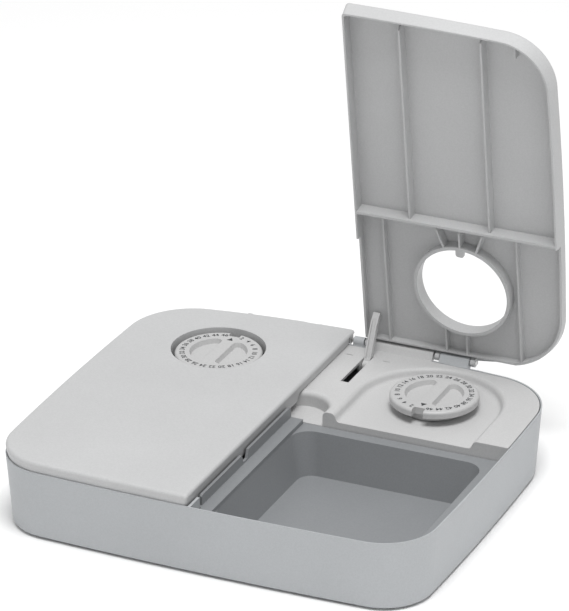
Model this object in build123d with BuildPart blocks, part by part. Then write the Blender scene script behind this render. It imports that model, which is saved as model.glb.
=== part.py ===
from build123d import *
import os
from math import asin, cos, degrees, pi, radians, sin

# Two meal pet feeder: a low housing with a twin food tray at the front, a deck with two timer
# dials at the back, and two lids on hinges along the back edge.
# X runs to the right, Y to the back, Z up. The feeder stands on Z = 0.

# Outline of the housing, shared by the lids
half_width = 157.5
front_y = -139.1
back_y = 130.5
side_bow = 3.0
front_bow = 4.0
back_bow = 9.0
corner_front = 38.0
corner_back = 49.0

# Housing
foot_drop = 1.5
floor_thick = 2.5
rim_z = 51.5
rim_thick = 1.0
base_taper = 3.5
wall_growth = 1.1
bottom_round = 1.6
wall_bite = 0.4
overlap = 1.0

# Lids
lid_top_z = 59.4
lid_thick = 2.0
lid_edge_inset = 0.3
lid_edge_round = 2.2
lid_edge_drop = 2.4
lid_skirt_z = 46.2
lid_skirt_inset = 2.2
lid_rim_thick = 1.3
lid_back_y = 139.4
lid_inner_x = 4.5
lid_inner_x_left = 6.0
lid_inner_taper = 1.6
lid_shallow_z = 52.1
lid_step_front = 22.5
lid_step_inner = 42.0
lid_step_round = 4.0
lid_corner = 2.5
lid_open = 81.5
rib_thick = 1.4
front_rib_depth = 8.4
front_rib_start = 6.0
back_rib_depth = 4.9
fan_rib_depth = 8.0
fan_rib_turn = 19.5
front_rib_x = (46.0, 105.0)
back_rib_x = (24.0, 123.0)
short_back_rib_x = (67.0, 82.5)
stub_rib_x = 128.0
stub_rib_length = 20.0
collar_thick = 2.4
collar_depth = 8.0
web_root_y = 21.1
web_free_y = 20.3
back_web_y = 126.0
tab_width = 6.3
tab_thick = 1.8
tab_reach = 5.2
tab_reach_short = 2.0

# Hinges
hinge_y = 133.1
hinge_z = 53.7
lug_radius = 3.3
ear_radius = 3.0
pin_radius = 1.5
pin_seat = 0.02
running = 0.06
ear_thick = 3.4
lug_gap = 0.6
lug_left_x = 62.0
lug_right_x = 84.0
lug_slope_angle = 32.0
lug_foot = 5.1
lug_under_angle = 40.0
lug_drop = 9.0
lug_step = 3.0
lug_step_rise = 1.0
lug_bite = 0.6
lug_bite_rim = 0.2
center_lug_half = 4.0
center_ear_offset = 0.5
center_ear_thick = 3.0
pin_overhang = 0.4
bore_run = 2.5

# Dials
dial_x = 82.0
dial_y = 72.5
dial_hole_radius = 33.5
dial_radius = 31.0
dial_top_z = 57.0
dial_flange = 5.2
dial_edge_round = 2.0
dial_hub_radius = 22.0
dial_float = 0.5
dish_radius = 20.5
dish_depth = 3.6
dish_taper = 18.0
dish_corner = 4.0
bar_width = 9.0
notch_width = 8.4
notch_depth = 5.6

# Deck
deck_front_y = 24.7
deck_thick = 2.2
deck_inset = 1.7
deck_wall = 2.0
deck_split_z = 38.0
side_clear = 0.4
recess_z = 45.5
recess_radius = 50.5
recess_back_gap = 11.0
strip_width = 8.3
recess_slope = 1.2
recess_round = 3.6
recess_round_share = 0.43
recess_foot_round = 3.0
saddle_z = 40.6
saddle_half = 19.0
saddle_side_y = 34.5
saddle_top_y = 48.5
edge_margin = 0.5
mark_x = (-28.0, 0, 28.0)
mark_y = 114.5
mark_length = 5.4
mark_width = 1.2
mark_depth = 0.6

# Food tray
tray_z = 40.6
tray_wall = 1.6
tray_inset = 2.7
tray_back_gap = 0.6
bowl_floor_z = 9.6
bowl_front_y = -128.0
bowl_back_y = 15.0
tray_rim = 14.0
bowl_inner_right = 5.4
bowl_inner_left = 12.6
bowl_draft = 6.0
bowl_corner = 14.0
bowl_corner_front = 28.0
plateau_z = 43.9
divider_x = -4.6
divider_thick = 2.0
divider_front = -120.0
divider_back = 22.5
divider_notch_front = -57.5
divider_notch_back = -46.5
divider_notch_foot = 6.0
divider_notch_slope = 2.4
divider_chamfer = 1.2
stub_back = -123.5
stub_clear = 0.6
pad_radius = 5.0
pad_spacing = 80.0

# Lift arms
arm_x = 14.0
arm_width = 5.0
arm_thick = 4.4
arm_length = 38.0
arm_y = 113.0
arm_z = 46.3
arm_root = 3.8
arm_flange = 1.1
arm_groove = 1.3
arm_kink = 8.0
arm_kink_angle = 12.0
arm_tip_gap = 2.88
arm_tip_round = 1.2
arm_top_taper = 0.4
arm_under_taper = 0.2
arm_tip_taper = 0.6
arm_groove_root = 1.0
arm_groove_tip = 2.0
arm_pin_over = 0.3
arm_pin_radius = 1.3
slot_clear = 0.5
slot_front_clear = 1.5
slot_back = 118.3
cheek_thick = 2.0
cheek_foot = 2.4
spring_wire = 0.45
spring_radius = 2.35
spring_pitch = 1.15
spring_turns = 4
spring_leg = 7.0
spring_gap = 0.1

# Timer movements
case_z = 20.0
case_top_z = 41.0
case_wall = 1.6
case_left = 28.0
case_right = 33.0
case_half_depth = 24.0
case_post = 3.0
case_round = 3.0
shaft_radius = 3.0
shaft_clear = 0.4
shaft_bottom_z = 23.0
shaft_in_dial = 4.0
bearing_radius = 5.0
bearing_height = 3.5
gear_module = 0.8
wheel_teeth = 40
pinion_teeth = 10
gear_backlash = 0.22
gear_tip = 0.85
gear_root = 1.2
gear_sunk = 0.4
tooth_foot = 1.6
tooth_tip = 0.5
wheel_z = 31.0
wheel_thick = 3.0
wheel_boss = 1.0
motor_radius = 9.0
motor_top_z = 29.0
motor_shaft_radius = 1.0
motor_shaft_over = 2.5
motor_round = 1.0
case_screw_radius = 1.2
case_screw_head = 2.3
case_screw_inset = 4.5
case_screw_grip = 3.4
case_screw_head_thick = 1.8
case_screw_end_gap = 0.3
case_screw_cross = 2.6
case_screw_cross_width = 0.6
case_screw_cross_depth = 1.0

# Batteries
battery_x = 66.0
battery_y = 110.5
battery_radius = 7.15
battery_length = 48.8
battery_nub = 1.4
battery_nub_radius = 2.7
battery_edge = 0.4
battery_lift = 0.6
bay_clear = 0.8
bay_wall = 1.6
bay_pad = 1.4
contact_thick = 0.4
contact_width = 10.01
contact_height = 10.725
contact_spring_length = 5.0
contact_spring_radius = 3.0
contact_spring_wire = 0.4
contact_spring_turns = 4
door_travel = 6.0
door_clear = 0.3
door_lip = 2.0
door_skin = 1.1
door_gap = 0.15
door_grip_count = 4
door_grip_spacing = 2.4
door_grip_length = 16.0
door_grip_width = 1.2
door_grip_depth = 0.5

# Fastenings and feet
screw_radius = 1.4
screw_clear = 0.25
screw_head_radius = 2.8
screw_head_thick = 2.0
screw_head_z = 28.0
screw_tip_z = 44.0
screw_end_gap = 0.4
screw_cross = 3.4
screw_cross_width = 0.7
screw_cross_depth = 1.1
post_radius = 3.6
boss_radius = 4.8
foot_radius = 7.0
foot_seat = 0.5
foot_round = 0.6

# Places of the screws and feet: how far in from the side, and y
screw_places = ((16.5, 35.5), (31.5, 101.5))
screw_middle_y = (61.5, 120.5)
foot_places = ((39.5, -114.5), (29.5, 17.5), (45.5, 87.5))

# Worked out from the sizes above
base_z = foot_drop
floor_z = base_z + floor_thick
low_inner_inset = base_taper + rim_thick + wall_growth
lid_under_z = lid_top_z - lid_thick
lid_edge_z = lid_top_z - lid_edge_drop
lid_back_bow = lid_back_y - back_y + back_bow
bowl_outer_x = half_width - tray_rim
recess_x = saddle_half + strip_width + recess_slope + recess_radius
recess_y = back_y - recess_back_gap - recess_radius
soft_round = min(recess_round, recess_round_share * strip_width)
center_pin_half = lid_inner_x_left + center_ear_offset + center_ear_thick + pin_overhang
ledge_start = center_pin_half + lug_gap
ledge_end = lug_left_x - 3 * lug_gap - ear_thick
pivot_height = (arm_y - hinge_y) * sin(radians(lid_open)) + (arm_z - hinge_z) * cos(radians(lid_open))
pivot_gap = lid_under_z - hinge_z - pivot_height
arm_raised = 180 - lid_open - degrees(asin((pivot_gap - arm_tip_gap) / arm_length))
arm_cheek_end = arm_x + arm_width / 2 + slot_clear + cheek_thick
arm_cheek_start = arm_x - arm_width / 2 - slot_clear - cheek_thick
recess_under_z = recess_z - deck_thick
deck_under_z = rim_z - deck_thick
lug_slope_end = (
    hinge_y - lug_radius * cos(radians(lug_slope_angle)),
    hinge_z + lug_radius * sin(radians(lug_slope_angle)),
)
lug_under_end = (
    hinge_y + lug_radius * cos(radians(lug_under_angle)),
    hinge_z - lug_radius * sin(radians(lug_under_angle)),
)
dial_under_z = dial_top_z - dial_flange
shaft_hub_radius = 2 * shaft_radius
dial_hub_z = recess_z + dial_float
gear_reach = gear_module * (wheel_teeth + pinion_teeth) / 2
motor_x = dial_x + gear_reach
case_front_y = dial_y - case_half_depth
case_back_y = dial_y + case_half_depth
battery_z = floor_z + battery_radius + battery_lift
bay_half_x = (battery_length + battery_nub + contact_spring_length) / 2 + contact_thick
bay_half_y = battery_radius + bay_clear
door_room_y = battery_y - bay_half_y - door_travel
bay_roof_z = battery_z + battery_radius + bay_clear
bowl_outer_z = bowl_floor_z - tray_wall
case_screw_x = (dial_x - case_left + case_screw_inset, dial_x + case_right - case_screw_inset)
case_screw_y = (case_front_y + case_screw_inset, case_back_y - case_screw_inset)
case_screw_points = [(x, y) for x in case_screw_x for y in case_screw_y]
screw_points = [(side * (half_width - inset), y) for inset, y in screw_places for side in (-1, 1)]
screw_points += [(0, y) for y in screw_middle_y]
foot_points = [(side * (half_width - inset), y) for inset, y in foot_places for side in (-1, 1)]

os.makedirs("parts", exist_ok=True)


def outline(inset, back=back_y, bow=back_bow):
    """Rounded rectangle with four gently bowed sides, moved in from the housing's edge by inset."""
    corner_x = half_width - side_bow - inset
    corner_f = front_y + front_bow + inset
    corner_b = back - bow - inset
    middle_y = (corner_f + corner_b) / 2
    with BuildSketch() as shape:
        with BuildLine():
            ThreePointArc((-corner_x, corner_f), (0, front_y + inset), (corner_x, corner_f))
            ThreePointArc((corner_x, corner_f), (half_width - inset, middle_y), (corner_x, corner_b))
            ThreePointArc((corner_x, corner_b), (0, back - inset), (-corner_x, corner_b))
            ThreePointArc((-corner_x, corner_b), (inset - half_width, middle_y), (-corner_x, corner_f))
        make_face()
        fillet(shape.vertices().group_by(Axis.Y)[0], corner_front - inset)
        fillet(shape.vertices().group_by(Axis.Y)[-1], corner_back - inset)
    return shape.sketch


def lid_outline(inset, inner_x):
    """Right half of the outline, up to the lid's straight inner edge at inner_x."""
    with BuildSketch() as shape:
        add(outline(inset, lid_back_y, lid_back_bow))
        with Locations((inner_x, 0)):
            Rectangle(2 * half_width, 4 * half_width, align=(Align.MIN, Align.CENTER), mode=Mode.INTERSECT)
        fillet(shape.vertices().group_by(Axis.X)[0], lid_corner)
    return shape.sketch


def bowl_outline(inner_x, inset):
    """Mouth of the right bowl, moved inwards by inset."""
    width = bowl_outer_x - inner_x - 2 * inset
    depth = bowl_back_y - bowl_front_y - 2 * inset
    with BuildSketch() as shape:
        with Locations(((bowl_outer_x + inner_x) / 2, (bowl_back_y + bowl_front_y) / 2)):
            Rectangle(width, depth)
        front_outer = shape.vertices().group_by(Axis.Y)[0].sort_by(Axis.X)[-1]
        fillet(front_outer, bowl_corner_front - inset / 2)
        others = shape.vertices().group_by(Axis.Y)[-1] + shape.vertices().group_by(Axis.X)[0]
        fillet(list(dict.fromkeys(others)), bowl_corner - inset / 2)
    return shape.sketch


def recess_outline(grow):
    """Plan of the right dial recess: a round back and straight sides that run out at the front."""
    radius = recess_radius + grow
    with BuildSketch() as shape:
        with Locations((recess_x, recess_y)):
            Circle(radius)
            Rectangle(2 * radius, recess_y - deck_front_y, align=(Align.CENTER, Align.MAX))
        with Locations((recess_x, deck_front_y)):
            Rectangle(2 * radius, 4 * radius, align=(Align.CENTER, Align.MIN), mode=Mode.INTERSECT)
    return shape.sketch


def saddle_outline(grow):
    """Plan of the low saddle between the lids: an arch that is open to the front."""
    half = saddle_half + grow
    with BuildSketch() as shape:
        with BuildLine():
            side_right = Line((half, deck_front_y), (half, saddle_side_y))
            ThreePointArc(side_right @ 1, (0, saddle_top_y + grow), (-half, saddle_side_y))
            Line((-half, saddle_side_y), (-half, deck_front_y))
            Line((-half, deck_front_y), side_right @ 0)
        make_face()
    return shape.sketch


def gear_outline(teeth, turn):
    """Spur gear with straight sided teeth, thinned by the backlash."""
    pitch = gear_module * teeth / 2
    tooth_half = pi * gear_module / 4 - gear_backlash / 2
    tip = pitch + gear_tip * gear_module
    root = pitch - gear_root * gear_module
    sunk = root - gear_sunk * gear_module
    with BuildSketch() as shape:
        Circle(root)
        with PolarLocations(0, teeth, start_angle=turn):
            Polygon(
                (sunk, -tooth_foot * tooth_half),
                (pitch, -tooth_half),
                (tip, -tooth_tip * tooth_half),
                (tip, tooth_tip * tooth_half),
                (pitch, tooth_half),
                (sunk, tooth_foot * tooth_half),
                align=None,
            )
    return shape.sketch


def inner_inset(level):
    """How far the housing's inner wall face lies inside the outline at a height."""
    lean = (low_inner_inset - rim_thick) / (rim_z - floor_z)
    return rim_thick + lean * (rim_z - level)


def write(part, name):
    """Name a finished piece and write it to its own file."""
    part.label = name
    export_step(part, f"parts/{name}.step")


# Housing: tapered wall, floor, cross wall behind the tray, hinge lugs, bosses and battery bays
with BuildPart() as base_shell:
    with BuildSketch(Plane.XY.offset(base_z)):
        add(outline(base_taper))
    with BuildSketch(Plane.XY.offset(rim_z)):
        add(outline(0))
    loft(ruled=True)
    fillet(base_shell.faces().sort_by(Axis.Z)[0].edges(), bottom_round)
    with BuildSketch(Plane.XY.offset(floor_z)):
        add(outline(low_inner_inset))
    with BuildSketch(Plane.XY.offset(rim_z)):
        add(outline(rim_thick))
    loft(ruled=True, mode=Mode.SUBTRACT)
    # Cross wall that carries the front of the deck
    for level in (floor_z, deck_split_z):
        with BuildSketch(Plane.XY.offset(level)):
            add(outline(inner_inset(level) - wall_bite))
            with Locations((0, deck_front_y)):
                Rectangle(
                    4 * half_width, deck_wall, align=(Align.CENTER, Align.MIN), mode=Mode.INTERSECT
                )
    loft(ruled=True)
    # Stub of the divider, against the front wall
    for level in (floor_z, rim_z):
        with BuildSketch(Plane.XY.offset(level)):
            add(outline(inner_inset(level) - wall_bite))
            with Locations((divider_x, stub_back)):
                Rectangle(divider_thick, half_width, align=(Align.CENTER, Align.MAX), mode=Mode.INTERSECT)
    loft(ruled=True)
    # Pads under the tray
    bowl_middle_x = (bowl_outer_x + bowl_inner_right) / 2
    bowl_middle_y = (bowl_back_y + bowl_front_y) / 2
    with BuildSketch(Plane.XY.offset(floor_z)):
        for side in (-1, 1):
            with Locations((side * bowl_middle_x, bowl_middle_y)):
                with GridLocations(pad_spacing, pad_spacing, 2, 2):
                    Circle(pad_radius)
    extrude(amount=bowl_outer_z - floor_z)
    # Bosses for the deck screws
    with BuildSketch(Plane.XY.offset(floor_z)):
        with Locations(*screw_points):
            Circle(boss_radius)
    extrude(amount=deck_split_z - floor_z)
    # Battery bays, open below
    with BuildSketch(Plane.XY.offset(base_z)):
        with Locations((-battery_x, door_room_y), (battery_x, door_room_y)):
            with Locations((0, -bay_pad)):
                Rectangle(
                    2 * (bay_half_x + door_lip + bay_pad),
                    2 * bay_half_y + door_travel + 2 * bay_pad,
                    align=(Align.CENTER, Align.MIN),
                )
    extrude(amount=floor_thick + bay_pad)
    with BuildSketch(Plane.XY.offset(base_z + door_skin)):
        with Locations((-battery_x, battery_y), (battery_x, battery_y)):
            Rectangle(2 * (bay_half_x + bay_wall), 2 * (bay_half_y + bay_wall))
    extrude(amount=bay_roof_z + bay_wall - base_z - door_skin)
    # Hinge lugs along the back wall
    lug_spans = [
        (-lug_right_x, lug_right_x - lug_left_x),
        (-center_lug_half, 2 * center_lug_half),
        (lug_left_x, lug_right_x - lug_left_x),
    ]
    for lug_start, lug_width in lug_spans:
        with BuildSketch(Plane.YZ.offset(lug_start)):
            with Locations((hinge_y, hinge_z)):
                Circle(lug_radius)
            wall_y = back_y - back_bow * ((lug_start + lug_width / 2) / half_width) ** 2
            with BuildLine():
                Polyline(
                    (wall_y - rim_thick - lug_bite, rim_z - lug_drop),
                    (wall_y - rim_thick - lug_bite, rim_z - lug_step),
                    (wall_y - rim_thick / 2 - lug_bite_rim, rim_z - lug_step + lug_step_rise),
                    (wall_y - rim_thick / 2 - lug_bite_rim, rim_z),
                    lug_slope_end,
                    (hinge_y, hinge_z),
                    lug_under_end,
                    close=True,
                )
            make_face()
        extrude(amount=lug_width)
    with BuildSketch(Plane.YZ.offset(-lug_right_x)):
        with Locations((hinge_y, hinge_z)):
            Circle(pin_radius + pin_seat)
    extrude(amount=2 * lug_right_x, mode=Mode.SUBTRACT)
    # Gaps in the back rim, through which the deck reaches its hinge ledges
    with BuildSketch(Plane.XY.offset(deck_under_z - side_clear)):
        for side in (-1, 1):
            with Locations((side * (ledge_start + ledge_end) / 2, hinge_y)):
                Rectangle(ledge_end - ledge_start + 2 * side_clear, 8 * lug_radius)
    extrude(amount=rim_z - deck_under_z + side_clear, mode=Mode.SUBTRACT)
    # Holes for the deck screws, entered from below
    with Locations(*[(x, y, base_z) for x, y in screw_points]):
        Cylinder(
            screw_head_radius + screw_clear,
            screw_head_z + screw_head_thick - base_z,
            align=(Align.CENTER, Align.CENTER, Align.MIN),
            mode=Mode.SUBTRACT,
        )
        Cylinder(
            screw_radius + screw_clear,
            deck_split_z - base_z,
            align=(Align.CENTER, Align.CENTER, Align.MIN),
            mode=Mode.SUBTRACT,
        )
    # Space for the batteries, and the slots in which their doors slide
    with BuildSketch(Plane.XY.offset(base_z)):
        with Locations((-battery_x, battery_y), (battery_x, battery_y)):
            Rectangle(2 * bay_half_x, 2 * bay_half_y)
    extrude(amount=bay_roof_z - base_z, mode=Mode.SUBTRACT)
    with BuildSketch(Plane.XY.offset(base_z)):
        with Locations((-battery_x, door_room_y), (battery_x, door_room_y)):
            Rectangle(2 * bay_half_x, door_travel + overlap, align=(Align.CENTER, Align.MIN))
    extrude(amount=floor_thick, mode=Mode.SUBTRACT)
    with BuildSketch(Plane.XY.offset(base_z + door_skin)):
        with Locations((-battery_x, door_room_y), (battery_x, door_room_y)):
            Rectangle(
                2 * (bay_half_x + door_lip), 2 * bay_half_y + door_travel, align=(Align.CENTER, Align.MIN)
            )
    extrude(amount=floor_thick - door_skin, mode=Mode.SUBTRACT)
    # Seats for the feet
    with BuildSketch(Plane.XY.offset(base_z)):
        with Locations(*foot_points):
            Circle(foot_radius)
    extrude(amount=foot_seat, mode=Mode.SUBTRACT)
write(base_shell.part, "base_shell")

# Deck cover: raised deck, two dial recesses, the saddle between the lids and the arm slots
with BuildPart() as deck_cover:
    # Outer block up to the deck, with the recesses and the saddle sunk into it
    with BuildSketch(Plane.XY.offset(deck_under_z)):
        add(outline(deck_inset))
        with Locations((0, deck_front_y)):
            Rectangle(4 * half_width, 4 * half_width, align=(Align.CENTER, Align.MIN), mode=Mode.INTERSECT)
    extrude(amount=deck_thick)
    # Walls and floors of the recesses
    with BuildSketch(Plane.XY.offset(recess_under_z)):
        add(recess_outline(deck_wall))
        mirror(about=Plane.YZ)
    extrude(amount=rim_z - recess_under_z)
    with BuildSketch(Plane.XY.offset(saddle_z - deck_thick)):
        add(saddle_outline(deck_wall))
    extrude(amount=rim_z - saddle_z + deck_thick)
    # Front wall, down to the housing's cross wall
    with BuildSketch(Plane.XY.offset(deck_split_z)):
        add(outline(inner_inset(deck_split_z) + side_clear))
        with Locations((0, deck_front_y)):
            Rectangle(4 * half_width, deck_wall, align=(Align.CENTER, Align.MIN), mode=Mode.INTERSECT)
    extrude(amount=deck_under_z - deck_split_z)
    # Posts for the housing screws and for the timer covers
    with BuildSketch(Plane.XY.offset(deck_split_z)):
        with Locations(*screw_points):
            Circle(post_radius)
    extrude(amount=deck_under_z - deck_split_z)
    with BuildSketch(Plane.XY.offset(case_top_z)):
        with Locations(*case_screw_points):
            Circle(case_post)
        mirror(about=Plane.YZ)
    extrude(amount=recess_under_z - case_top_z)
    # Cheeks that carry the lift arm pins
    for side in (-1, 1):
        for cheek_x in (arm_cheek_start, arm_cheek_end - cheek_thick):
            with BuildSketch(Plane.YZ.offset(side * (cheek_x + cheek_thick / 2) - cheek_thick / 2)):
                with Locations((arm_y, arm_z)):
                    Circle(arm_root + cheek_foot)
                    Rectangle(
                        2 * (arm_root + cheek_foot), deck_under_z - arm_z, align=(Align.CENTER, Align.MIN)
                    )
                with Locations((arm_y, deck_under_z + deck_thick / 2)):
                    Rectangle(
                        half_width, half_width, align=(Align.CENTER, Align.MIN), mode=Mode.SUBTRACT
                    )
            extrude(amount=cheek_thick)
    # Hollows, with soft edges around the recesses and the saddle
    for side in (-1, 1):
        for level, grow in ((recess_z, -recess_slope), (rim_z, recess_slope)):
            with BuildSketch(Plane.XY.offset(level)):
                if side > 0:
                    add(recess_outline(grow))
                else:
                    add(mirror(recess_outline(grow), about=Plane.YZ, mode=Mode.PRIVATE))
        loft(ruled=True, mode=Mode.SUBTRACT)
    with BuildSketch(Plane.XY.offset(saddle_z)):
        add(saddle_outline(0))
    extrude(amount=rim_z - saddle_z, mode=Mode.SUBTRACT)
    top_edges = deck_cover.edges().group_by(Axis.Z)[-1]
    within = outline(deck_inset + edge_margin).face()
    soft_edges = [
        edge
        for edge in top_edges
        if edge.center().Y > deck_front_y + edge_margin
        and within.is_inside((edge.center().X, edge.center().Y, 0))
    ]
    fillet(soft_edges, soft_round)
    foot_edges = [
        edge
        for edge in deck_cover.edges()
        if abs(edge.center().Z - recess_z) < pin_seat
        and edge.center().Y > deck_front_y + edge_margin
    ]
    fillet(foot_edges, recess_foot_round)
    # Short marks above the ends of the lift arm pins
    with BuildSketch(Plane.XY.offset(rim_z)):
        with Locations(*[(x, mark_y) for x in mark_x]):
            SlotOverall(mark_length, mark_width)
    extrude(amount=-mark_depth, mode=Mode.SUBTRACT)
    # Ledges that rise to the hinge line beside the middle lug
    for side in (-1, 1):
        with BuildSketch(Plane.YZ.offset(side * (ledge_start + ledge_end) / 2)):
            with Locations((hinge_y, hinge_z)):
                Circle(lug_radius)
            with BuildLine():
                Polyline(
                    (hinge_y - 2 * lug_foot, deck_under_z),
                    (hinge_y - 2 * lug_foot, rim_z),
                    (hinge_y - lug_foot, rim_z),
                    lug_slope_end,
                    (hinge_y, hinge_z),
                    (hinge_y - lug_radius / 2, deck_under_z),
                    close=True,
                )
            make_face()
        extrude(amount=(ledge_end - ledge_start) / 2, both=True)
    slot_half = arm_width / 2 + slot_clear
    slot_front = arm_y - arm_length - slot_front_clear
    with BuildSketch(Plane.XY.offset(recess_under_z)):
        with Locations((-arm_x, slot_front), (arm_x, slot_front)):
            Rectangle(2 * slot_half, slot_back - slot_front, align=(Align.CENTER, Align.MIN))
    extrude(amount=rim_z - recess_under_z, mode=Mode.SUBTRACT)
    # Bores
    with BuildSketch(Plane.XY.offset(recess_under_z)):
        with Locations((-dial_x, dial_y), (dial_x, dial_y)):
            Circle(shaft_radius + shaft_clear)
    extrude(amount=deck_thick, mode=Mode.SUBTRACT)
    with BuildSketch(Plane.XY.offset(deck_split_z)):
        with Locations(*screw_points):
            Circle(screw_radius + pin_seat)
    extrude(amount=screw_tip_z - deck_split_z, mode=Mode.SUBTRACT)
    with BuildSketch(Plane.XY.offset(case_top_z)):
        with Locations(*case_screw_points):
            Circle(case_screw_radius + pin_seat)
        mirror(about=Plane.YZ)
    extrude(amount=case_screw_grip, mode=Mode.SUBTRACT)
    with BuildSketch(Plane.YZ):
        with Locations((arm_y, arm_z)):
            Circle(arm_pin_radius + pin_seat)
    extrude(amount=arm_cheek_end + bore_run, both=True, mode=Mode.SUBTRACT)
write(deck_cover.part, "deck_cover")

# Food tray: one flange with two bowls, the raised strip and the notched divider between the lids
with BuildPart() as food_tray:
    with BuildSketch(Plane.XY.offset(tray_z - tray_wall)):
        add(outline(tray_inset))
        with Locations((0, deck_front_y - tray_back_gap)):
            Rectangle(4 * half_width, 4 * half_width, align=(Align.CENTER, Align.MAX), mode=Mode.INTERSECT)
    extrude(amount=tray_wall)
    bowl_edges = [(bowl_inner_right, False), (bowl_inner_left, True)]
    for inner_x, flipped in bowl_edges:
        for level, inset in ((bowl_outer_z, bowl_draft - tray_wall), (tray_z, -tray_wall)):
            with BuildSketch(Plane.XY.offset(level)):
                if flipped:
                    add(mirror(bowl_outline(inner_x, inset), about=Plane.YZ, mode=Mode.PRIVATE))
                else:
                    add(bowl_outline(inner_x, inset))
        loft(ruled=True)
    strip_right = bowl_inner_right
    strip_left = divider_x - divider_thick / 2
    with BuildSketch(Plane.XY.offset(tray_z - tray_wall)):
        add(outline(tray_inset))
        with Locations((strip_left, divider_back)):
            Rectangle(
                strip_right - strip_left, 2 * half_width, align=(Align.MIN, Align.MAX), mode=Mode.INTERSECT
            )
    extrude(amount=plateau_z - tray_z + tray_wall)
    with BuildSketch(Plane.YZ.offset(strip_left)):
        with BuildLine():
            Polyline(
                (divider_front, plateau_z - overlap),
                (divider_front, rim_z - divider_chamfer),
                (divider_front + divider_chamfer, rim_z),
                (divider_notch_front, rim_z),
                (divider_notch_front + divider_notch_slope, rim_z - divider_notch_foot),
                (divider_notch_back - divider_notch_slope, rim_z - divider_notch_foot),
                (divider_notch_back, rim_z),
                (divider_back - divider_chamfer, rim_z),
                (divider_back, rim_z - divider_chamfer),
                (divider_back, plateau_z - overlap),
                close=True,
            )
        make_face()
    extrude(amount=divider_thick)
    for inner_x, flipped in bowl_edges:
        for level, inset in ((bowl_floor_z, bowl_draft), (tray_z, 0)):
            with BuildSketch(Plane.XY.offset(level)):
                if flipped:
                    add(mirror(bowl_outline(inner_x, inset), about=Plane.YZ, mode=Mode.PRIVATE))
                else:
                    add(bowl_outline(inner_x, inset))
        loft(ruled=True, mode=Mode.SUBTRACT)
    # Slot round the housing's divider stub
    with BuildSketch(Plane.XY.offset(bowl_floor_z)):
        with Locations((divider_x, stub_back + stub_clear)):
            Rectangle(
                divider_thick + 2 * stub_clear, half_width, align=(Align.CENTER, Align.MAX)
            )
    extrude(amount=rim_z - bowl_floor_z, mode=Mode.SUBTRACT)
write(food_tray.part, "food_tray")


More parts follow.
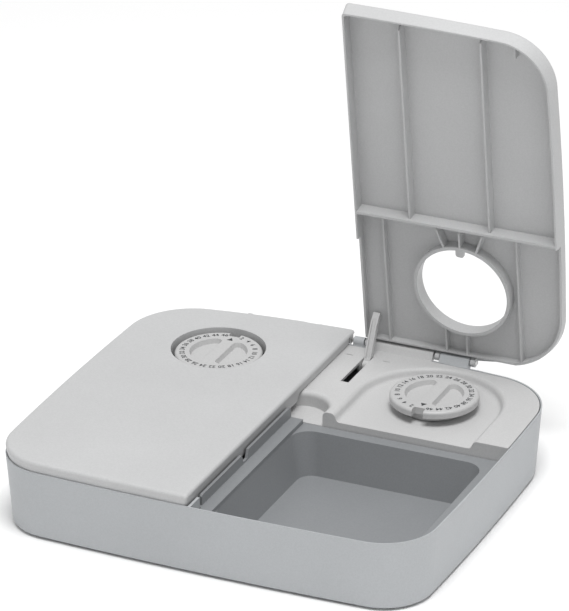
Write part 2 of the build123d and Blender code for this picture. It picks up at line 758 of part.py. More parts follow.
def lid_shape(inner_x, reach):
    """One closed lid on the right side, with its inner edge at inner_x and its latch tab's reach."""
    with BuildPart() as hull:
        with BuildSketch(Plane.XY.offset(lid_skirt_z)):
            add(lid_outline(lid_skirt_inset, inner_x + lid_inner_taper))
        with BuildSketch(Plane.XY.offset(lid_edge_z)):
            add(lid_outline(lid_edge_inset, inner_x))
        loft(ruled=True)
        with BuildSketch(Plane.XY.offset(lid_edge_z)):
            add(lid_outline(lid_edge_inset, inner_x))
        extrude(amount=lid_edge_drop)
        fillet(hull.faces().sort_by(Axis.Z)[-1].edges(), lid_edge_round)

    # Cross web, ribs and hinge ears, trimmed to the lid's outer shape
    with BuildPart() as inside:
        with BuildSketch(Plane.YZ.offset(inner_x)):
            Polygon(
                (web_root_y - lid_thick / 2, lid_edge_z + overlap),
                (web_root_y + lid_thick / 2, lid_edge_z + overlap),
                (web_free_y + lid_thick / 2, lid_skirt_z),
                (web_free_y - lid_thick / 2, lid_skirt_z),
                align=None,
            )
        extrude(amount=half_width)
        for rib_x in front_rib_x:
            with BuildSketch(Plane.YZ.offset(rib_x - rib_thick / 2)):
                Polygon(
                    (front_y + front_rib_start, lid_edge_z + overlap),
                    (front_y + front_rib_start, lid_under_z - overlap),
                    (front_y + front_rib_start + front_rib_depth / 2, lid_under_z - front_rib_depth),
                    (web_free_y, lid_under_z - front_rib_depth),
                    (web_root_y, lid_edge_z + overlap),
                    align=None,
                )
            extrude(amount=rib_thick)
        rib_runs = [(rib_x, web_root_y, back_web_y + rib_thick / 2) for rib_x in back_rib_x]
        rib_runs += [
            (rib_x, dial_y + dial_hole_radius, back_web_y + rib_thick / 2) for rib_x in short_back_rib_x
        ]
        rib_runs += [(stub_rib_x, front_y, front_y + stub_rib_length)]
        for rib_x, rib_start, rib_end in rib_runs:
            with BuildSketch(Plane.YZ.offset(rib_x - rib_thick / 2)):
                Polygon(
                    (rib_start, lid_edge_z + overlap),
                    (rib_start, lid_under_z - back_rib_depth),
                    (rib_end, lid_under_z - back_rib_depth),
                    (rib_end, lid_edge_z + overlap),
                    align=None,
                )
            extrude(amount=rib_thick)
        # Three short ribs that fan out from the collar to the web
        for turn in (-fan_rib_turn, 0, fan_rib_turn):
            out = (sin(radians(turn)), -cos(radians(turn)))
            web_reach = (dial_y - web_root_y) / cos(radians(turn))
            fan_plane = Plane(
                origin=(dial_x, dial_y, 0), x_dir=(out[0], out[1], 0), z_dir=(out[1], -out[0], 0)
            )
            with BuildSketch(fan_plane):
                Polygon(
                    (dial_hole_radius, lid_edge_z + overlap),
                    (dial_hole_radius, lid_under_z - fan_rib_depth),
                    (web_reach - fan_rib_depth / 2, lid_under_z - fan_rib_depth),
                    (web_reach, lid_under_z - fan_rib_depth / 2),
                    (web_reach, lid_edge_z + overlap),
                    align=None,
                )
            extrude(amount=rib_thick / 2, both=True)
        # Back web, just ahead of the hinge line
        with BuildSketch(Plane.XY.offset(lid_shallow_z)):
            with Locations((inner_x, back_web_y)):
                Rectangle(half_width, rib_thick, align=(Align.MIN, Align.MIN))
        extrude(amount=lid_edge_z + overlap - lid_shallow_z)
        add(hull.part, mode=Mode.INTERSECT)

    with BuildPart() as lid:
        add(hull.part)
        with BuildSketch(Plane.XY.offset(lid_skirt_z)):
            add(lid_outline(lid_skirt_inset + lid_rim_thick, inner_x + lid_inner_taper + lid_rim_thick))
        with BuildSketch(Plane.XY.offset(lid_under_z)):
            add(lid_outline(lid_edge_inset + lid_thick, inner_x + lid_thick))
        loft(ruled=True, mode=Mode.SUBTRACT)
        # Shallow skirt over the deck, with a rounded step beside the saddle
        with BuildSketch(Plane.YZ.offset(inner_x + saddle_half)):
            with Locations((lid_step_front, lid_shallow_z)):
                Rectangle(2 * half_width, lid_shallow_z, align=(Align.MIN, Align.MAX))
        extrude(amount=half_width, mode=Mode.SUBTRACT)
        with BuildSketch(Plane.YZ) as step:
            with Locations((lid_step_inner, lid_shallow_z)):
                Rectangle(2 * half_width, lid_shallow_z, align=(Align.MIN, Align.MAX))
            fillet(step.vertices().group_by(Axis.Y)[-1].sort_by(Axis.X)[0], lid_step_round)
        extrude(amount=half_width, mode=Mode.SUBTRACT)
        # No skirt behind the hinge line, where it would strike the housing
        with BuildSketch(Plane.XY.offset(lid_skirt_z)):
            with Locations((0, back_web_y + rib_thick)):
                Rectangle(2 * half_width, half_width, align=(Align.MIN, Align.MIN))
        extrude(amount=lid_under_z - lid_skirt_z, mode=Mode.SUBTRACT)
        add(inside.part)
        # Opening over the dial, with its collar
        with BuildSketch(Plane.XY.offset(lid_under_z - collar_depth)):
            with Locations((dial_x, dial_y)):
                Circle(dial_hole_radius + collar_thick)
        extrude(amount=collar_depth + lid_thick / 2)
        with BuildSketch(Plane.XY.offset(lid_skirt_z)):
            with Locations((dial_x, dial_y)):
                Circle(dial_hole_radius)
        extrude(amount=lid_top_z - lid_skirt_z, mode=Mode.SUBTRACT)
        # Latch tab on the front of the collar
        with BuildSketch(Plane.XY.offset(lid_under_z - collar_depth)) as tab:
            with Locations((dial_x, dial_y - dial_hole_radius - collar_thick / 2)):
                Rectangle(tab_width, reach + collar_thick / 2, align=(Align.CENTER, Align.MIN))
            fillet(tab.vertices().group_by(Axis.Y)[-1], min(reach / 2, tab_width / 3))
        extrude(amount=tab_thick)
        # Ears by the inner edge and on both sides of the housing's outer lug
        ears = [
            (inner_x + center_ear_offset, center_ear_thick),
            (lug_left_x - lug_gap - ear_thick, ear_thick),
            (lug_right_x + lug_gap, ear_thick),
        ]
        for ear_x, thick in ears:
            with BuildSketch(Plane.YZ.offset(ear_x)):
                with Locations((hinge_y, hinge_z)):
                    Circle(ear_radius)
                    Rectangle(
                        2 * ear_radius,
                        lid_under_z + lid_thick / 4 - hinge_z,
                        align=(Align.CENTER, Align.MIN),
                    )
            extrude(amount=thick)
            with BuildSketch(Plane.YZ.offset(ear_x - bore_run)):
                with Locations((hinge_y, hinge_z)):
                    Circle(pin_radius + running)
            extrude(amount=thick + 2 * bore_run, mode=Mode.SUBTRACT)
    return lid.part


hinge_axis = Axis((0, hinge_y, hinge_z), (1, 0, 0))

with BuildPart() as lid_left:
    add(mirror(lid_shape(lid_inner_x_left, tab_reach_short), about=Plane.YZ, mode=Mode.PRIVATE))
write(lid_left.part, "lid_left")

# The right lid stands open
with BuildPart() as lid_right:
    add(lid_shape(lid_inner_x, tab_reach).rotate(hinge_axis, -lid_open))
write(lid_right.part, "lid_right")

# Hinge pins: one through the middle lug, and one through each outer lug
with BuildPart() as hinge_pin_center:
    with BuildSketch(Plane.YZ.offset(-center_pin_half)):
        with Locations((hinge_y, hinge_z)):
            Circle(pin_radius)
    extrude(amount=2 * center_pin_half)
write(hinge_pin_center.part, "hinge_pin_center")

with BuildPart() as hinge_pins_outer:
    outer_pin_start = lug_left_x - lug_gap - ear_thick - pin_overhang
    outer_pin_length = lug_right_x - lug_left_x + 2 * (lug_gap + ear_thick + pin_overhang)
    with BuildSketch(Plane.YZ.offset(outer_pin_start)):
        with Locations((hinge_y, hinge_z)):
            Circle(pin_radius)
    extrude(amount=outer_pin_length)
    mirror(about=Plane.YZ)
write(hinge_pins_outer.part, "hinge_pins_outer")

# Dials: flange with a latch notch, a grip bar between two dishes, and a hollow hub
for side, name, notch_side in ((-1, "dial_left", 1), (1, "dial_right", -1)):
    with BuildPart() as dial:
        with BuildSketch(Plane.XY.offset(dial_under_z)):
            with Locations((side * dial_x, dial_y)):
                Circle(dial_radius)
        extrude(amount=dial_flange)
        fillet(dial.faces().sort_by(Axis.Z)[-1].edges(), dial_edge_round)
        with BuildSketch(Plane.XY.offset(dial_hub_z)):
            with Locations((side * dial_x, dial_y)):
                Circle(dial_hub_radius)
                Circle(dial_hub_radius - lid_thick, mode=Mode.SUBTRACT)
                Circle(shaft_hub_radius)
        extrude(amount=dial_under_z - dial_hub_z)
        with BuildSketch(Plane.XY.offset(dial_top_z)) as dishes:
            with Locations((side * dial_x, dial_y)):
                Circle(dish_radius)
                Rectangle(bar_width, 3 * dish_radius, mode=Mode.SUBTRACT)
            fillet(dishes.vertices(), dish_corner)
        extrude(amount=-dish_depth, taper=dish_taper, mode=Mode.SUBTRACT)
        with BuildSketch(Plane.XY.offset(dial_under_z)):
            with Locations((side * dial_x, dial_y + notch_side * dial_radius)):
                Rectangle(notch_width, 2 * notch_depth)
        extrude(amount=dial_flange, mode=Mode.SUBTRACT)
        with BuildSketch(Plane.XY.offset(dial_hub_z)):
            with Locations((side * dial_x, dial_y)):
                Circle(shaft_radius + pin_seat)
        extrude(amount=shaft_in_dial, mode=Mode.SUBTRACT)
    write(dial.part, name)

# Timer movements under the dials
for side, hand in ((-1, "left"), (1, "right")):
    with BuildPart() as timer_shaft:
        with BuildSketch(Plane.XY.offset(shaft_bottom_z)):
            with Locations((side * dial_x, dial_y)):
                Circle(shaft_radius)
        extrude(amount=dial_hub_z + shaft_in_dial - shaft_bottom_z)
    write(timer_shaft.part, f"timer_shaft_{hand}")

    with BuildPart() as output_wheel:
        with BuildSketch(Plane.XY.offset(wheel_z)):
            with Locations((side * dial_x, dial_y)):
                add(gear_outline(wheel_teeth, 180 / wheel_teeth))
        extrude(amount=wheel_thick)
        with BuildSketch(Plane.XY.offset(wheel_z - wheel_boss)):
            with Locations((side * dial_x, dial_y)):
                Circle(shaft_hub_radius)
        extrude(amount=wheel_thick + 2 * wheel_boss)
        with BuildSketch(Plane.XY.offset(wheel_z - wheel_boss)):
            with Locations((side * dial_x, dial_y)):
                Circle(shaft_radius + pin_seat)
        extrude(amount=wheel_thick + 2 * wheel_boss, mode=Mode.SUBTRACT)
    write(output_wheel.part, f"output_wheel_{hand}")

    with BuildPart() as motor_pinion:
        with BuildSketch(Plane.XY.offset(wheel_z - wheel_boss)):
            with Locations((side * motor_x, dial_y)):
                add(gear_outline(pinion_teeth, 0))
                Circle(motor_shaft_radius + running, mode=Mode.SUBTRACT)
        extrude(amount=wheel_thick + 2 * wheel_boss)
    write(motor_pinion.part, f"motor_pinion_{hand}")

    with BuildPart() as timer_motor:
        with BuildSketch(Plane.XY.offset(case_z + case_wall)):
            with Locations((side * motor_x, dial_y)):
                Circle(motor_radius)
        extrude(amount=motor_top_z - case_z - case_wall)
        fillet(timer_motor.faces().sort_by(Axis.Z)[-1].edges(), motor_round)
        with BuildSketch(Plane.XY.offset(motor_top_z)):
            with Locations((side * motor_x, dial_y)):
                Circle(motor_shaft_radius)
        extrude(amount=wheel_z + wheel_thick + motor_shaft_over - motor_top_z)
    write(timer_motor.part, f"timer_motor_{hand}")

    case_middle_x = side * (dial_x + (case_right - case_left) / 2)
    case_length = case_left + case_right
    with BuildPart() as timer_case:
        with BuildSketch(Plane.XY.offset(case_z)):
            with Locations((case_middle_x, dial_y)):
                RectangleRounded(case_length, 2 * case_half_depth, case_round)
        extrude(amount=case_top_z - case_wall - case_z)
        with BuildSketch(Plane.XY.offset(case_z + case_wall)):
            with Locations((case_middle_x, dial_y)):
                RectangleRounded(
                    case_length - 2 * case_wall, 2 * (case_half_depth - case_wall), case_round - case_wall
                )
        extrude(amount=case_top_z - case_z, mode=Mode.SUBTRACT)
        with BuildSketch(Plane.XY.offset(case_z + case_wall)):
            with Locations((side * dial_x, dial_y)):
                Circle(bearing_radius)
        extrude(amount=bearing_height)
        with BuildSketch(Plane.XY.offset(shaft_bottom_z - running)):
            with Locations((side * dial_x, dial_y)):
                Circle(shaft_radius + running)
        extrude(amount=bearing_height, mode=Mode.SUBTRACT)
    write(timer_case.part, f"timer_case_{hand}")

    with BuildPart() as timer_case_cover:
        with BuildSketch(Plane.XY.offset(case_top_z - case_wall)):
            with Locations((case_middle_x, dial_y)):
                RectangleRounded(case_length, 2 * case_half_depth, case_round)
            with Locations((side * dial_x, dial_y)):
                Circle(shaft_radius + running, mode=Mode.SUBTRACT)
            with Locations(*[(side * x, y) for x, y in case_screw_points]):
                Circle(case_screw_radius + screw_clear, mode=Mode.SUBTRACT)
        extrude(amount=case_wall)
    write(timer_case_cover.part, f"timer_case_cover_{hand}")

with BuildPart() as timer_screws:
    with BuildSketch(Plane.XY.offset(case_top_z - case_wall)):
        with Locations(*case_screw_points):
            Circle(case_screw_head)
    extrude(amount=-case_screw_head_thick)
    with BuildSketch(Plane.XY.offset(case_top_z - case_wall)):
        with Locations(*case_screw_points):
            Circle(case_screw_radius)
    extrude(amount=case_wall + case_screw_grip - case_screw_end_gap)
    with BuildSketch(Plane.XY.offset(case_top_z - case_wall - case_screw_head_thick)):
        with Locations(*case_screw_points):
            Rectangle(case_screw_cross, case_screw_cross_width)
            Rectangle(case_screw_cross_width, case_screw_cross)
    extrude(amount=case_screw_cross_depth, mode=Mode.SUBTRACT)
    mirror(about=Plane.YZ)
write(timer_screws.part, "timer_screws")

# Lift arms: folded forward in the left slot, raised against the open lid on the right
for side, name, turn in ((-1, "lift_arm_left", 0), (1, "lift_arm_right", arm_raised - 180)):
    half = arm_thick / 2
    straight = arm_length - arm_kink
    rise = arm_kink * sin(radians(arm_kink_angle))
    with BuildPart() as folded_arm:
        with BuildSketch(Plane.YZ.offset(side * arm_x - arm_width / 2)) as profile:
            with BuildLine():
                Polyline(
                    (arm_y, arm_z + half),
                    (arm_y - straight, arm_z + half - arm_top_taper),
                    (arm_y - arm_length, arm_z + half - arm_top_taper + rise),
                    (arm_y - arm_length, arm_z - half + arm_tip_taper + rise),
                    (arm_y - straight, arm_z - half + arm_under_taper),
                    (arm_y, arm_z - half),
                    close=True,
                )
            make_face()
            fillet(profile.vertices().group_by(Axis.X)[0], arm_tip_round)
            with Locations((arm_y, arm_z)):
                Circle(arm_root)
                Circle(arm_pin_radius + running, mode=Mode.SUBTRACT)
        extrude(amount=arm_width)
        with BuildSketch(Plane.XY.offset(arm_z - half - overlap)):
            with Locations((side * arm_x, arm_y - arm_root - arm_groove_root)):
                Rectangle(
                    arm_width - 2 * arm_flange,
                    arm_length - arm_root - arm_groove_root - arm_groove_tip,
                    align=(Align.CENTER, Align.MAX),
                )
        extrude(amount=overlap + arm_groove, mode=Mode.SUBTRACT)
    with BuildPart() as lift_arm:
        add(folded_arm.part.rotate(Axis((0, arm_y, arm_z), (1, 0, 0)), turn))
    write(lift_arm.part, name)

arm_pin_start = arm_cheek_start - arm_pin_over
arm_pin_end = arm_cheek_end + spring_pitch * (spring_turns + 1)
with BuildPart() as arm_pins:
    with BuildSketch(Plane.YZ.offset(arm_pin_start)):
        with Locations((arm_y, arm_z)):
            Circle(arm_pin_radius)
    extrude(amount=arm_pin_end - arm_pin_start)
    mirror(about=Plane.YZ)
write(arm_pins.part, "arm_pins")

with BuildPart() as arm_springs:
    with BuildLine() as spring_line:
        coil = Helix(
            pitch=spring_pitch,
            height=spring_pitch * spring_turns,
            radius=spring_radius,
            center=(arm_cheek_end + spring_wire + spring_gap, arm_y, arm_z),
            direction=(1, 0, 0),
        )
    with BuildSketch(Plane(origin=spring_line.line @ 0, z_dir=spring_line.line % 0)):
        Circle(spring_wire)
    sweep()
    # Straight leg, which takes in the end of the coil
    with BuildSketch(Plane(origin=coil @ 1 - (coil % 1) * spring_wire, z_dir=coil % 1)):
        Circle(spring_wire + spring_gap)
    extrude(amount=spring_leg)
    mirror(about=Plane.YZ)
write(arm_springs.part, "arm_springs")

# Batteries with their contacts and sliding doors
battery_end_x = battery_x + bay_half_x - contact_thick
for side, hand in ((-1, "left"), (1, "right")):
    with BuildPart() as battery:
        with BuildSketch(Plane.YZ.offset(battery_end_x - battery_nub - battery_length)):
            with Locations((battery_y, battery_z)):
                Circle(battery_radius)
        extrude(amount=battery_length)
        chamfer(battery.faces().filter_by(Axis.X).edges(), battery_edge)
        with BuildSketch(Plane.YZ.offset(battery_end_x - battery_nub)):
            with Locations((battery_y, battery_z)):
                Circle(battery_nub_radius)
        extrude(amount=battery_nub)
    with BuildPart() as placed_battery:
        if side > 0:
            add(battery.part)
        else:
            add(mirror(battery.part, about=Plane.YZ, mode=Mode.PRIVATE))
    write(placed_battery.part, f"battery_{hand}")

    with BuildPart() as battery_door:
        with BuildSketch(Plane.XY.offset(base_z)):
            with Locations((side * battery_x, battery_y - bay_half_y)):
                Rectangle(
                    2 * (bay_half_x - door_clear),
                    2 * bay_half_y - door_clear,
                    align=(Align.CENTER, Align.MIN),
                )
        extrude(amount=door_skin + door_gap)
        with BuildSketch(Plane.XY.offset(base_z + door_skin + door_gap)):
            with Locations((side * battery_x, battery_y - bay_half_y)):
                Rectangle(
                    2 * (bay_half_x + door_lip - door_clear),
                    2 * bay_half_y - door_clear,
                    align=(Align.CENTER, Align.MIN),
                )
        extrude(amount=floor_thick - door_skin - 2 * door_gap)
        with BuildSketch(Plane.XY.offset(base_z)):
            with Locations((side * battery_x, battery_y)):
                with GridLocations(0, door_grip_spacing, 1, door_grip_count):
                    SlotOverall(door_grip_length, door_grip_width)
        extrude(amount=door_grip_depth, mode=Mode.SUBTRACT)
    write(battery_door.part, f"battery_door_{hand}")

with BuildPart() as battery_contacts:
    for plate_x in (battery_x - bay_half_x, battery_end_x):
        with BuildSketch(Plane.YZ.offset(plate_x)):
            with Locations((battery_y, battery_z)):
                Rectangle(contact_width, contact_height)
        extrude(amount=contact_thick)
    mirror(about=Plane.YZ)
write(battery_contacts.part, "battery_contacts")

with BuildPart() as battery_springs:
    spring_start_x = battery_x - bay_half_x + contact_thick + contact_spring_wire + pin_seat
    spring_height = contact_spring_length - 2 * (contact_spring_wire + pin_seat)
    with BuildLine() as contact_line:
        Helix(
            pitch=spring_height / contact_spring_turns,
            height=spring_height,
            radius=contact_spring_radius,
            center=(spring_start_x, battery_y, battery_z),
            direction=(1, 0, 0),
        )
    with BuildSketch(Plane(origin=contact_line.line @ 0, z_dir=contact_line.line % 0)):
        Circle(contact_spring_wire)
    sweep()
    mirror(about=Plane.YZ)
write(battery_springs.part, "battery_springs")

# Screws that hold the deck, driven from below, and the feet
with BuildPart() as deck_screws:
    with BuildSketch(Plane.XY.offset(screw_head_z)):
        with Locations(*screw_points):
            Circle(screw_head_radius)
    extrude(amount=screw_head_thick)
    with BuildSketch(Plane.XY.offset(screw_head_z + screw_head_thick)):
        with Locations(*screw_points):
            Circle(screw_radius)
    extrude(amount=screw_tip_z - screw_end_gap - screw_head_z - screw_head_thick)
    with BuildSketch(Plane.XY.offset(screw_head_z)):
        with Locations(*screw_points):
            Rectangle(screw_cross, screw_cross_width)
            Rectangle(screw_cross_width, screw_cross)
    extrude(amount=screw_cross_depth, mode=Mode.SUBTRACT)
write(deck_screws.part, "deck_screws")

with BuildPart() as rubber_feet:
    with BuildSketch():
        with Locations(*foot_points):
            Circle(foot_radius)
    extrude(amount=foot_drop + foot_seat)
    fillet(rubber_feet.faces().group_by(Axis.Z)[0].edges(), foot_round)
write(rubber_feet.part, "rubber_feet")
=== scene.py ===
from math import cos, pi, radians, sin

import bmesh
import bpy
from mathutils import Euler, Matrix, Vector


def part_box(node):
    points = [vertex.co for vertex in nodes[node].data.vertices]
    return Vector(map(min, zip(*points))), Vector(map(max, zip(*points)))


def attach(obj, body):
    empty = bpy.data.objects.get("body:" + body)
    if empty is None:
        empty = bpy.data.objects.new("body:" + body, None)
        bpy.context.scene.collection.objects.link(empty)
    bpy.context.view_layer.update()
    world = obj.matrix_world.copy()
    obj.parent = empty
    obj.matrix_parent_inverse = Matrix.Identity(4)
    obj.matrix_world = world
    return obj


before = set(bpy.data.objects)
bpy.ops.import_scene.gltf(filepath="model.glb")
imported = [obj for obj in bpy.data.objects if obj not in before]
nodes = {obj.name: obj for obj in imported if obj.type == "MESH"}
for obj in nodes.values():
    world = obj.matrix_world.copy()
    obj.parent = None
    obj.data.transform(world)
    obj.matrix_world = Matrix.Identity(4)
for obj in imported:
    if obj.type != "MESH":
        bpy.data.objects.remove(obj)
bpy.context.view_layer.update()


# Camera at the photo's angle
CAMERA_AZIMUTH = radians(24.51)
CAMERA_ELEVATION = radians(25.13)
CAMERA_ROLL = radians(-0.3)
CAMERA_DISTANCE = 3.1594
CAMERA_TARGET = Vector((-0.08556, 0.19231, 0.040))
CAMERA_LENS = 256.3
SENSOR_WIDTH = 36
VIEW_END = 50


def add_camera():
    """The camera looks at the target from the photo's azimuth, elevation and distance."""
    back = Vector(
        (
            sin(CAMERA_AZIMUTH) * cos(CAMERA_ELEVATION),
            -cos(CAMERA_AZIMUTH) * cos(CAMERA_ELEVATION),
            sin(CAMERA_ELEVATION),
        )
    )
    data = bpy.data.cameras.new("camera")
    data.lens = CAMERA_LENS
    data.sensor_width = SENSOR_WIDTH
    data.clip_end = VIEW_END
    camera = bpy.data.objects.new("camera", data)
    turn = back.to_track_quat("Z", "Y").to_matrix() @ Euler((0, 0, CAMERA_ROLL)).to_matrix()
    camera.matrix_world = Matrix.Translation(CAMERA_TARGET + back * CAMERA_DISTANCE) @ turn.to_4x4()
    bpy.context.scene.collection.objects.link(camera)
    bpy.context.scene.camera = camera


# Light
ZENITH_LIGHT = 0.92
HORIZON_LIGHT = 0.37
KEY_POWER = 62
KEY_SIZE = 1.5
KEY_PLACE = Vector((0.45, -0.6, 2.9))
FLOOR_COLOR = (0.96, 0.96, 0.96, 1)
FLOOR_HALF = 6.0
FLOOR_DROP = 0.0002
FLOOR_ROUGHNESS = 0.9
FLOOR_SPECULAR = 0.1


def add_area_light(name, place, target, size, power):
    data = bpy.data.lights.new(name, "AREA")
    data.shape = "DISK"
    data.size = size
    data.energy = power
    light = bpy.data.objects.new(name, data)
    light.location = place
    light.rotation_euler = (place - target).to_track_quat("Z", "Y").to_euler()
    bpy.context.scene.collection.objects.link(light)


def add_world():
    """White to the camera. As light on the object it is strong from above and soft from the sides."""
    world = bpy.data.worlds.new("studio")
    bpy.context.scene.world = world
    world.use_nodes = True
    tree = world.node_tree
    tree.nodes.clear()
    output = tree.nodes.new("ShaderNodeOutputWorld")
    paths = tree.nodes.new("ShaderNodeLightPath")
    seen = tree.nodes.new("ShaderNodeBackground")
    seen.inputs["Color"].default_value = (1, 1, 1, 1)
    seen.inputs["Strength"].default_value = 1
    lit = tree.nodes.new("ShaderNodeBackground")
    ray = tree.nodes.new("ShaderNodeTexCoord")
    split = tree.nodes.new("ShaderNodeSeparateXYZ")
    tree.links.new(ray.outputs["Generated"], split.inputs[0])
    height = tree.nodes.new("ShaderNodeMapRange")
    height.inputs["To Min"].default_value = HORIZON_LIGHT
    height.inputs["To Max"].default_value = ZENITH_LIGHT
    tree.links.new(split.outputs["Z"], height.inputs["Value"])
    tree.links.new(height.outputs[0], lit.inputs["Strength"])
    mix = tree.nodes.new("ShaderNodeMixShader")
    tree.links.new(paths.outputs["Is Camera Ray"], mix.inputs[0])
    tree.links.new(lit.outputs[0], mix.inputs[1])
    tree.links.new(seen.outputs[0], mix.inputs[2])
    tree.links.new(mix.outputs[0], output.inputs[0])


def add_floor():
    """A plain pale floor, well past the edges of the view."""
    mesh = bpy.data.meshes.new("floor")
    corners = [(x * FLOOR_HALF, y * FLOOR_HALF, 0) for x, y in ((-1, -1), (1, -1), (1, 1), (-1, 1))]
    mesh.from_pydata(corners, [], [(0, 1, 2, 3)])
    floor = bpy.data.objects.new("floor", mesh)
    floor.location.z = -FLOOR_DROP
    bpy.context.scene.collection.objects.link(floor)
    material = bpy.data.materials.new("floor")
    material.use_nodes = True
    shader = material.node_tree.nodes["Principled BSDF"]
    shader.inputs["Base Color"].default_value = FLOOR_COLOR
    shader.inputs["Roughness"].default_value = FLOOR_ROUGHNESS
    shader.inputs["Specular IOR Level"].default_value = FLOOR_SPECULAR
    mesh.materials.append(material)


# Materials
NOISE_LOW = 0.3
NOISE_HIGH = 0.7
# Each noise is a scale and a detail
FLOW = (9, 3)
SPECK = (900, 2)
SPECK_LOW = 0.35
SPECK_HIGH = 0.65
SPECK_DEPTH = 0.03
PATCHES = (60, 4)
PATCH_SMOOTHER = 0.05
PATCH_ROUGHER = 0.06
GRAIN = (2600, 3)
GRAIN_HEIGHT = 0.00006
GRAIN_GAIN = 10
EDGE_SAMPLES = 4
EDGE_FLAT = 0.99
EDGE_SHARP = 0.8
STREAKS_ACROSS = 1400
STREAKS_ALONG = 60
STREAK_DARK = 0.85
STREAK_LIGHT = 1.08
STREAK_HEIGHT = 0.00005
STREAK_STRENGTH = 0.15
INK_GRAIN = (1500, 2)
INK_DARK = 0.8
INK_LIGHT = 1.3
INK_ROUGHNESS = 0.5


def value_ramp(tree, source, low, high, color_low, color_high):
    """A ramp from one colour to another as source goes from low to high."""
    ramp = tree.nodes.new("ShaderNodeValToRGB")
    ramp.color_ramp.elements[0].position = low
    ramp.color_ramp.elements[1].position = high
    ramp.color_ramp.elements[0].color = color_low
    ramp.color_ramp.elements[1].color = color_high
    tree.links.new(source, ramp.inputs[0])
    return ramp.outputs[0]


def noise(tree, coordinates, scale, detail):
    node = tree.nodes.new("ShaderNodeTexNoise")
    node.inputs["Scale"].default_value = scale
    node.inputs["Detail"].default_value = detail
    tree.links.new(coordinates, node.inputs["Vector"])
    return node.outputs["Fac"]


def tint(color, factor):
    return tuple(min(1, c * factor) for c in color) + (1,)


def mix_colors(tree, factor, first, second, mode="MIX"):
    node = tree.nodes.new("ShaderNodeMix")
    node.data_type = "RGBA"
    node.blend_type = mode
    for source, socket in ((factor, node.inputs[0]), (first, node.inputs[6]), (second, node.inputs[7])):
        if isinstance(source, bpy.types.NodeSocket):
            tree.links.new(source, socket)
        else:
            socket.default_value = source
    return node.outputs[2]


def edge_mask(tree, radius):
    """One along sharp edges and zero on flat stretches, from how far rounding bends the normal."""
    bevel = tree.nodes.new("ShaderNodeBevel")
    bevel.samples = EDGE_SAMPLES
    bevel.inputs["Radius"].default_value = radius
    geometry = tree.nodes.new("ShaderNodeNewGeometry")
    dot = tree.nodes.new("ShaderNodeVectorMath")
    dot.operation = "DOT_PRODUCT"
    tree.links.new(bevel.outputs[0], dot.inputs[0])
    tree.links.new(geometry.outputs["Normal"], dot.inputs[1])
    mask = tree.nodes.new("ShaderNodeMapRange")
    mask.inputs["From Min"].default_value = EDGE_FLAT
    mask.inputs["From Max"].default_value = EDGE_SHARP
    tree.links.new(dot.outputs["Value"], mask.inputs["Value"])
    return bevel.outputs[0], mask.outputs[0]


def moulded_plastic(name, color, roughness, grain=0.012, edge_radius=0.0006, edge_wear_and_highlight=1.12, blotch=0.035):
    """Moulded plastic: spark grained skin, faint flow marks, and sharp edges painted lighter, partly as
    wear from handling and partly as a painted highlight.
    """
    material = bpy.data.materials.new(name)
    material.use_nodes = True
    tree = material.node_tree
    shader = tree.nodes["Principled BSDF"]
    place = tree.nodes.new("ShaderNodeTexCoord").outputs["Object"]
    flow = noise(tree, place, *FLOW)
    tone = value_ramp(tree, flow, NOISE_LOW, NOISE_HIGH, tint(color, 1 - blotch), tint(color, 1 + blotch))
    dark = (1 - SPECK_DEPTH,) * 3 + (1,)
    light = (1 + SPECK_DEPTH,) * 3 + (1,)
    speck = value_ramp(tree, noise(tree, place, *SPECK), SPECK_LOW, SPECK_HIGH, dark, light)
    tone = mix_colors(tree, 1.0, tone, speck, "MULTIPLY")
    rounded, edges = edge_mask(tree, edge_radius)
    # Sharp edges painted lighter by the edge factor, partly as wear and partly as a painted highlight.
    tone = mix_colors(tree, edges, tone, tint(color, edge_wear_and_highlight))
    tree.links.new(tone, shader.inputs["Base Color"])
    rough = tree.nodes.new("ShaderNodeMapRange")
    rough.inputs["To Min"].default_value = roughness - PATCH_SMOOTHER
    rough.inputs["To Max"].default_value = roughness + PATCH_ROUGHER
    tree.links.new(noise(tree, place, *PATCHES), rough.inputs["Value"])
    tree.links.new(rough.outputs[0], shader.inputs["Roughness"])
    bump = tree.nodes.new("ShaderNodeBump")
    bump.inputs["Strength"].default_value = grain * GRAIN_GAIN
    bump.inputs["Distance"].default_value = GRAIN_HEIGHT
    tree.links.new(noise(tree, place, *GRAIN), bump.inputs["Height"])
    tree.links.new(rounded, bump.inputs["Normal"])
    tree.links.new(bump.outputs[0], shader.inputs["Normal"])
    return material


def metal(name, color, roughness, streak_axis):
    """Drawn or rolled metal, with fine streaks along one axis."""
    material = bpy.data.materials.new(name)
    material.use_nodes = True
    tree = material.node_tree
    shader = tree.nodes["Principled BSDF"]
    shader.inputs["Metallic"].default_value = 1
    stretch = tree.nodes.new("ShaderNodeMapping")
    scale = [STREAKS_ACROSS] * 3
    scale[streak_axis] = STREAKS_ALONG
    stretch.inputs["Scale"].default_value = scale
    tree.links.new(tree.nodes.new("ShaderNodeTexCoord").outputs["Object"], stretch.inputs["Vector"])
    streaks = noise(tree, stretch.outputs[0], 1, 3)
    dark = tint(color, STREAK_DARK)
    tone = value_ramp(tree, streaks, NOISE_LOW, NOISE_HIGH, dark, tint(color, STREAK_LIGHT))
    tree.links.new(tone, shader.inputs["Base Color"])
    shader.inputs["Roughness"].default_value = roughness
    bump = tree.nodes.new("ShaderNodeBump")
    bump.inputs["Strength"].default_value = STREAK_STRENGTH
    bump.inputs["Distance"].default_value = STREAK_HEIGHT
    tree.links.new(streaks, bump.inputs["Height"])
    tree.links.new(bump.outputs[0], shader.inputs["Normal"])
    return material


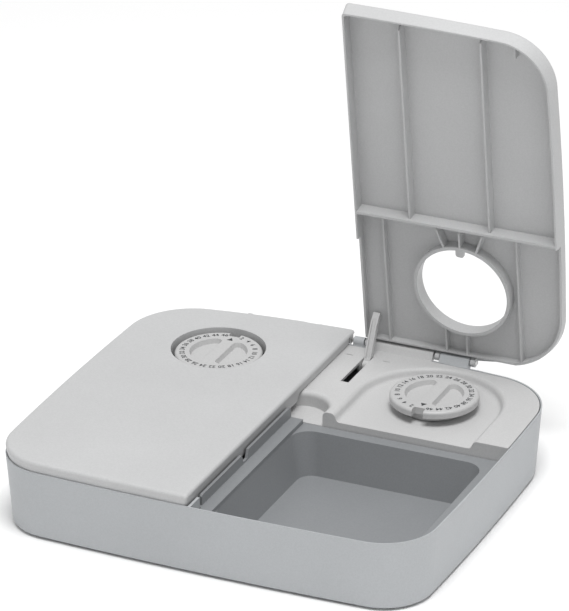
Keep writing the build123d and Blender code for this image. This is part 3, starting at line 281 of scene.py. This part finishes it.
def ink(name, color):
    """Pad printed ink, a little uneven."""
    material = bpy.data.materials.new(name)
    material.use_nodes = True
    tree = material.node_tree
    shader = tree.nodes["Principled BSDF"]
    place = tree.nodes.new("ShaderNodeTexCoord").outputs["Object"]
    grain = noise(tree, place, *INK_GRAIN)
    tone = value_ramp(tree, grain, NOISE_LOW, NOISE_HIGH, tint(color, INK_DARK), tint(color, INK_LIGHT))
    tree.links.new(tone, shader.inputs["Base Color"])
    shader.inputs["Roughness"].default_value = INK_ROUGHNESS
    return material


# Where a factor follows the roughness, it paints sharp edges lighter, partly as wear and partly as a
# painted highlight.
HOUSING = moulded_plastic("housing", (0.448, 0.464, 0.478), 0.48)
LID = moulded_plastic("lid", (0.522, 0.525, 0.528), 0.46)
DECK = moulded_plastic("deck", (0.545, 0.545, 0.545), 0.46)
TRAY = moulded_plastic("tray", (0.245, 0.254, 0.264), 0.42, edge_wear_and_highlight=1.2)
DIAL = moulded_plastic("dial", (0.51, 0.51, 0.51), 0.42)
ARM = moulded_plastic("arm", (0.57, 0.57, 0.57), 0.44, edge_wear_and_highlight=1.2)
ACETAL = moulded_plastic("acetal", (0.72, 0.70, 0.64), 0.35)
WORKS = moulded_plastic("works", (0.10, 0.105, 0.11), 0.5)
SLEEVE = moulded_plastic("sleeve", (0.03, 0.035, 0.04), 0.3)
RUBBER = moulded_plastic("rubber", (0.02, 0.02, 0.022), 0.75, grain=0.03, edge_wear_and_highlight=1.6)
STEEL = metal("steel", (0.60, 0.60, 0.59), 0.32, 0)
NICKEL = metal("nickel", (0.70, 0.68, 0.62), 0.28, 2)
INK = ink("ink", (0.035, 0.037, 0.04))

NODE_MATERIALS = {
    "base_shell": HOUSING,
    "deck_cover": DECK,
    "food_tray": TRAY,
    "battery_contacts": NICKEL,
    "rubber_feet": RUBBER,
}
PAIR_MATERIALS = {
    "lid": LID,
    "dial": DIAL,
    "lift_arm": ARM,
    "battery_door": HOUSING,
    "output_wheel": ACETAL,
    "motor_pinion": ACETAL,
    "timer_shaft": ACETAL,
    "timer_case": WORKS,
    "timer_case_cover": WORKS,
    "battery": SLEEVE,
}
for pair, pair_material in PAIR_MATERIALS.items():
    for hand in ("left", "right"):
        NODE_MATERIALS[f"{pair}_{hand}"] = pair_material


def dress_nodes():
    """Every carried-over node gets its material. What isn't listed is plain steel."""
    for name, node in nodes.items():
        material = NODE_MATERIALS.get(name, STEEL)
        node.data.materials.clear()
        node.data.materials.append(material)


# Printed numbers and pointers on the dials
NUMBER_SIZE = 0.0050
NUMBER_BOLD = 0.00009
NUMBER_SMOOTHNESS = 3
NUMBER_RADIUS = 0.0255
NUMBER_STEPS = 24
HOURS_PER_STEP = 2
PRINT_LIFT = 0.00006
POINTER_RADIUS = 0.0225
POINTER_LENGTH = 0.0042
POINTER_WIDTH = 0.0046


def text_mesh(words, size):
    """The outline of a few characters as a flat mesh, centred on the origin."""
    curve = bpy.data.curves.new("number", "FONT")
    curve.body = words
    curve.size = size
    curve.align_x = "CENTER"
    curve.align_y = "CENTER"
    curve.resolution_u = NUMBER_SMOOTHNESS
    curve.offset = NUMBER_BOLD
    holder = bpy.data.objects.new("number", curve)
    mesh = bpy.data.meshes.new_from_object(holder)
    bpy.data.objects.remove(holder)
    bpy.data.curves.remove(curve)
    return mesh


def print_on_dial(side, notch_angle):
    """Numbers round the rim, clockwise from the notch, and a pointer beside the grip bar."""
    shaft_low, shaft_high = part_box(f"timer_shaft_{side}")
    center = Vector(((shaft_low[0] + shaft_high[0]) / 2, (shaft_low[1] + shaft_high[1]) / 2, 0))
    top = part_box(f"dial_{side}")[1][2] + PRINT_LIFT
    printed = bmesh.new()
    for step in range(1, NUMBER_STEPS):
        angle = notch_angle - step * 2 * pi / NUMBER_STEPS
        outward = Vector((cos(angle), sin(angle), 0))
        across = Vector((outward.y, -outward.x, 0))
        mesh = text_mesh(str(step * HOURS_PER_STEP), NUMBER_SIZE)
        place = center + outward * NUMBER_RADIUS
        turn = Matrix(
            (
                (across.x, outward.x, 0, place.x),
                (across.y, outward.y, 0, place.y),
                (0, 0, 1, top),
                (0, 0, 0, 1),
            )
        )
        mesh.transform(turn)
        printed.from_mesh(mesh)
        bpy.data.meshes.remove(mesh)
    outward = Vector((cos(notch_angle), sin(notch_angle), 0))
    across = Vector((outward.y, -outward.x, 0))
    base = center + outward * (POINTER_RADIUS - POINTER_LENGTH) + Vector((0, 0, top))
    corners = [
        printed.verts.new(base - across * POINTER_WIDTH / 2),
        printed.verts.new(base + across * POINTER_WIDTH / 2),
        printed.verts.new(base + outward * POINTER_LENGTH),
    ]
    printed.faces.new(corners)
    mesh = bpy.data.meshes.new(f"dial_print_{side}")
    printed.to_mesh(mesh)
    printed.free()
    mesh.materials.append(INK)
    piece = bpy.data.objects.new(f"dial_print_{side}", mesh)
    bpy.context.scene.collection.objects.link(piece)
    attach(piece, f"dial_{side}_body")


add_camera()
add_world()
add_area_light("key", KEY_PLACE, Vector((0, 0, 0)), KEY_SIZE, KEY_POWER)
add_floor()
dress_nodes()
print_on_dial("right", -pi / 2)
print_on_dial("left", pi / 2)
bpy.context.scene.view_settings.view_transform = "Standard"
